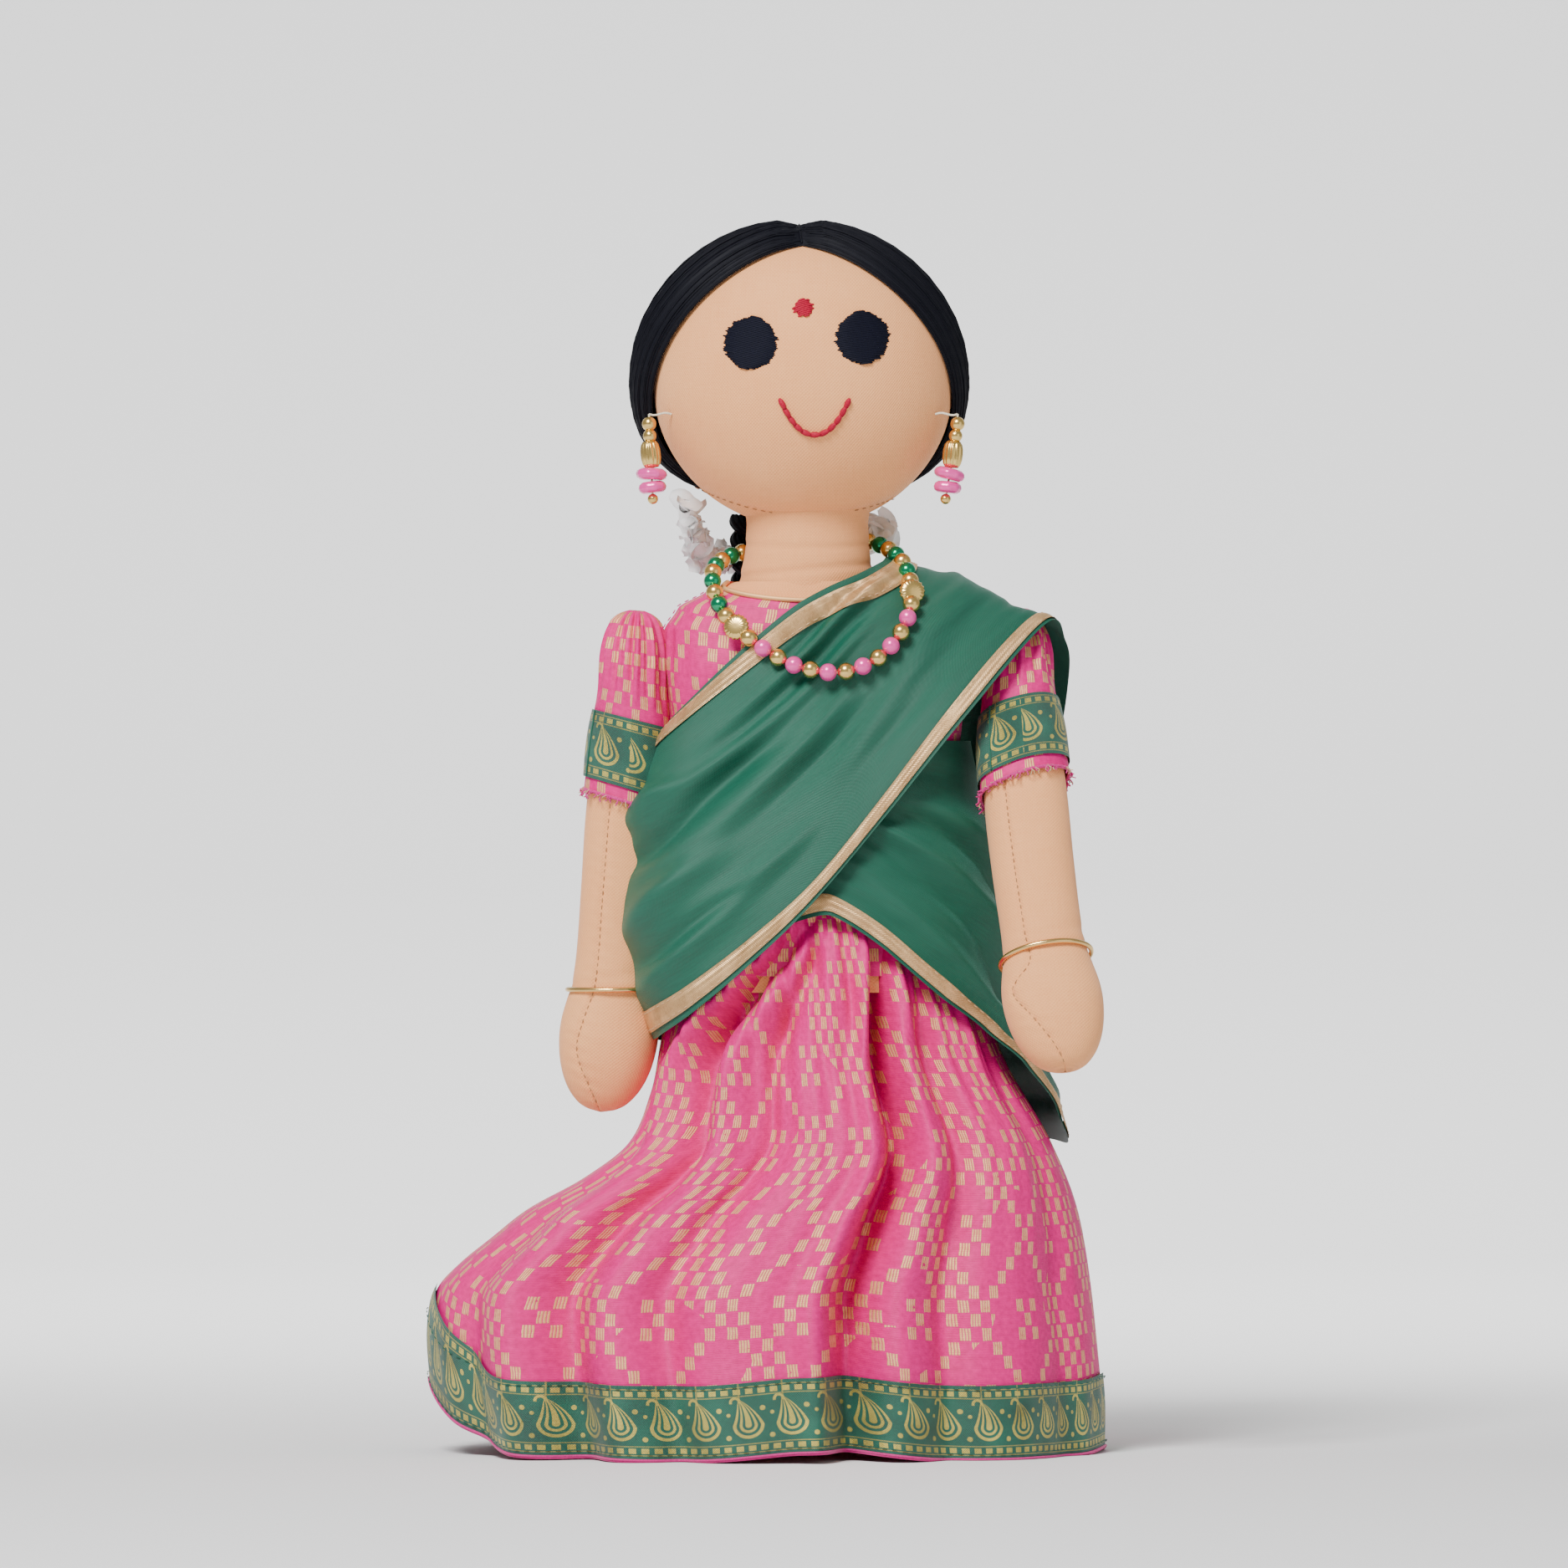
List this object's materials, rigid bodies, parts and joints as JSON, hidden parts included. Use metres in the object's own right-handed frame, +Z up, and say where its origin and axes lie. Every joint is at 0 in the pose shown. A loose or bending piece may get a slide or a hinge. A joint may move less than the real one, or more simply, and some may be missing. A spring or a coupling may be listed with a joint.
{
  "type": "cloth doll in half-sari",
  "caption": "Stuffed cotton doll standing on the hem of a gathered brocade skirt, with half-sari, thread hair, braid, beaded necklace, earrings and bangles; head, arms and legs move.",
  "frame": {"origin": "on the floor under the middle of the skirt's hem", "axes": "+Z up; the doll faces -Y; its right side is towards -X"},
  "size_m": [0.1636, 0.11, 0.3],
  "materials": {
    "skin_cotton": "plain woven cotton, matt",
    "stuffing": "loose white fibre fill",
    "navy_thread": "satin stitch, slight sheen",
    "crimson_thread": "twisted thread",
    "hair_thread": "fine dark thread in strands",
    "petal_cloth": "white cloth petals",
    "gold_ribbon": "woven metallic ribbon",
    "sari_cloth": "satin-faced green cloth",
    "zari_border": "woven green border with gold thread",
    "white_cotton": "plain cotton tape",
    "brocade": "pink brocade with gold thread",
    "pink_bead": "pearly glossy",
    "green_bead": "metallic glossy",
    "bangle_metal": "polished wire",
    "gold_bead": "polished gold colour",
    "bead_thread": "thin cord"
  },
  "bodies": {
    "torso": {"torso_front_panel": "skin_cotton", "torso_back_panel": "skin_cotton", "torso_stuffing": "stuffing", "blouse_front": "brocade", "blouse_back": "brocade", "skirt": "brocade", "skirt_hem_border": "zari_border", "skirt_waistband": "white_cotton", "half_sari": "sari_cloth", "half_sari_ribbon_upper": "gold_ribbon", "half_sari_ribbon_lower": "gold_ribbon", "half_sari_ribbon_hip": "gold_ribbon", "necklace_thread": "bead_thread", "necklace_gold_beads": "gold_bead", "necklace_pink_beads": "pink_bead", "necklace_green_beads": "green_bead", "necklace_fluted_beads": "gold_bead"},
    "neck": {"neck_stuffing": "stuffing", "neck_skin": "skin_cotton"},
    "head": {"head_stuffing": "stuffing", "head_face_panel": "skin_cotton", "head_back_panel": "skin_cotton", "eye_right": "navy_thread", "eye_left": "navy_thread", "bindi": "crimson_thread", "mouth_stitching": "crimson_thread", "hair_right_swathe": "hair_thread", "hair_left_swathe": "hair_thread", "parting_stitches": "hair_thread", "jasmine_garland": "petal_cloth", "earring_right_stitch": "bead_thread", "earring_left_stitch": "bead_thread"},
    "braid": {"braid": "hair_thread", "braid_tie": "crimson_thread"},
    "earring_right": {"earring_right_thread": "bead_thread", "earring_right_gold_beads": "gold_bead", "earring_right_pink_discs": "pink_bead", "earring_right_fluted_bead": "gold_bead"},
    "arm_right": {"arm_right_stuffing": "stuffing", "arm_right_inner_panel": "skin_cotton", "arm_right_outer_panel": "skin_cotton", "sleeve_right": "brocade", "sleeve_right_border": "zari_border"},
    "bangle_right": {"bangle_right": "bangle_metal"},
    "leg_right": {"leg_right_stuffing": "stuffing", "leg_right_skin": "skin_cotton"},
    "earring_left": {"earring_left_thread": "bead_thread", "earring_left_gold_beads": "gold_bead", "earring_left_pink_discs": "pink_bead", "earring_left_fluted_bead": "gold_bead"},
    "arm_left": {"arm_left_stuffing": "stuffing", "arm_left_inner_panel": "skin_cotton", "arm_left_outer_panel": "skin_cotton", "sleeve_left": "brocade", "sleeve_left_border": "zari_border"},
    "bangle_left": {"bangle_left": "bangle_metal"},
    "leg_left": {"leg_left_stuffing": "stuffing", "leg_left_skin": "skin_cotton"}
  },
  "joints": [
    {"name": "neck_turn", "type": "hinge", "parent": "torso", "child": "neck", "pos_m": [0.0095, 0, 0.2043], "axis": [0, 0, 1], "range_deg": [-20, 20]},
    {"name": "head_nod", "type": "hinge", "parent": "neck", "child": "head", "pos_m": [0.0095, 0, 0.226], "axis": [1, 0, 0], "range_deg": [0, 12]},
    {"name": "shoulder_right_swing", "type": "hinge", "parent": "torso", "child": "arm_right", "pos_m": [-0.0325, 0, 0.197], "axis": [-1, 0, 0], "range_deg": [-20, 60]},
    {"name": "shoulder_left_swing", "type": "hinge", "parent": "torso", "child": "arm_left", "pos_m": [0.0605, 0, 0.197], "axis": [-1, 0, 0], "range_deg": [-5, 40]},
    {"name": "hip_right_swing", "type": "hinge", "parent": "torso", "child": "leg_right", "pos_m": [-0.0022, 0, 0.11], "axis": [-1, 0, 0], "range_deg": [-12, 12]},
    {"name": "hip_left_swing", "type": "hinge", "parent": "torso", "child": "leg_left", "pos_m": [0.0258, 0, 0.11], "axis": [-1, 0, 0], "range_deg": [-12, 12]},
    {"name": "braid_swing", "type": "hinge", "parent": "head", "child": "braid", "pos_m": [-0.0045, 0.0288, 0.2235], "axis": [1, 0, 0], "range_deg": [0, 50]},
    {"name": "earring_right_swing", "type": "hinge", "parent": "head", "child": "earring_right", "pos_m": [-0.0289, -0.0145, 0.252], "axis": [-1, 0, 0], "range_deg": [-12, 25]},
    {"name": "earring_left_swing", "type": "hinge", "parent": "head", "child": "earring_left", "pos_m": [0.0459, -0.0145, 0.252], "axis": [-1, 0, 0], "range_deg": [-12, 25]},
    {"name": "bangle_right_slide", "type": "slide", "parent": "arm_right", "child": "bangle_right", "axis": [0.0728, 0, 0.9973], "range_m": [0, 0.012]},
    {"name": "bangle_left_slide", "type": "slide", "parent": "arm_left", "child": "bangle_left", "axis": [-0.0939, 0.4238, 0.9009], "range_m": [0, 0.012]}
  ]
}
